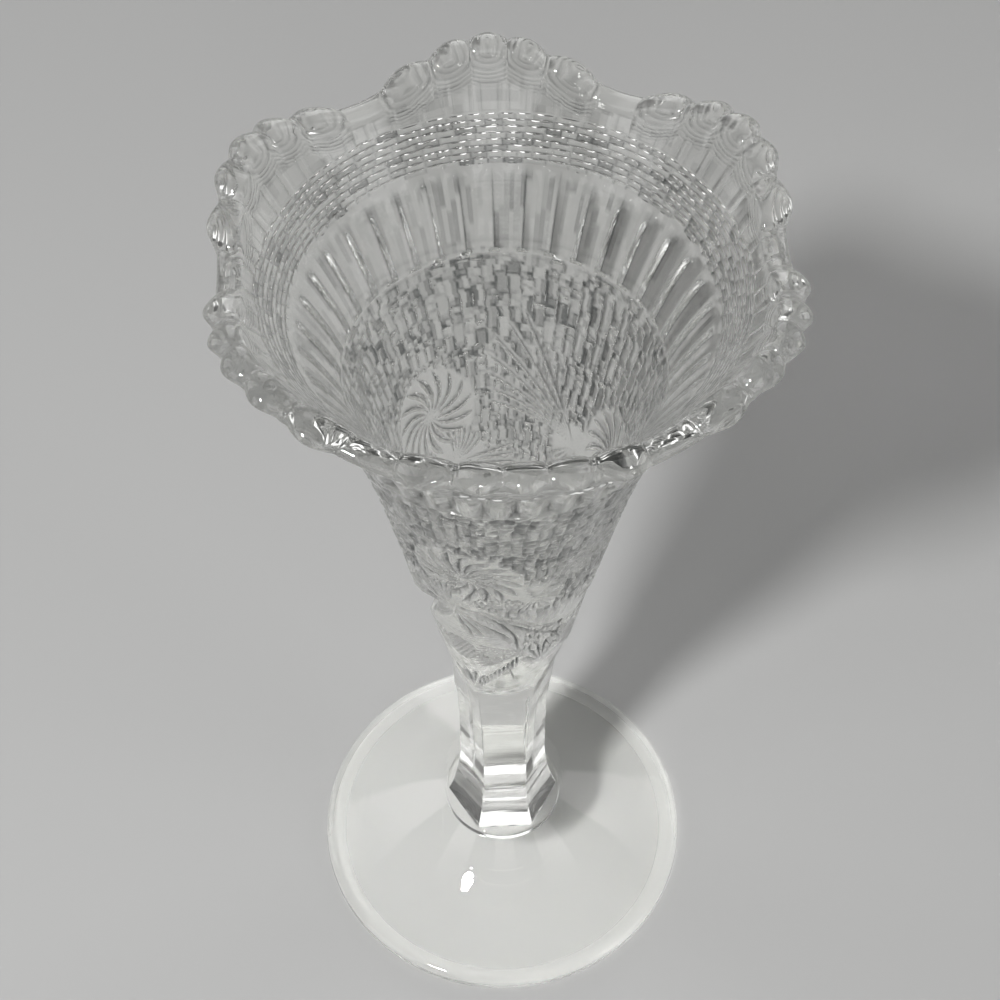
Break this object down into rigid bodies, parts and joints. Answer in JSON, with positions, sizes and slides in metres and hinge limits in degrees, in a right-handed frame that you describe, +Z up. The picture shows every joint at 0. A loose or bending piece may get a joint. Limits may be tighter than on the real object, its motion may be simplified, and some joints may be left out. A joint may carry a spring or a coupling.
{
  "type": "bud vase",
  "caption": "Tall trumpet-shaped clear glass bud vase with a lobed, beaded rim, a hexagonal stem, a thin round collar and a round hollow foot.",
  "frame": {"origin": "centre of the foot's underside, on the surface that the vase stands on", "axes": "+Z up along the vase's axis; the middle of one lobe of the rim points along +Y"},
  "size_m": [0.0838, 0.0888, 0.178],
  "materials": {
    "clear_glass": "polished"
  },
  "bodies": {
    "root": {"foot": "clear_glass", "collar": "clear_glass", "stem": "clear_glass", "bowl": "clear_glass"}
  },
  "joints": []
}
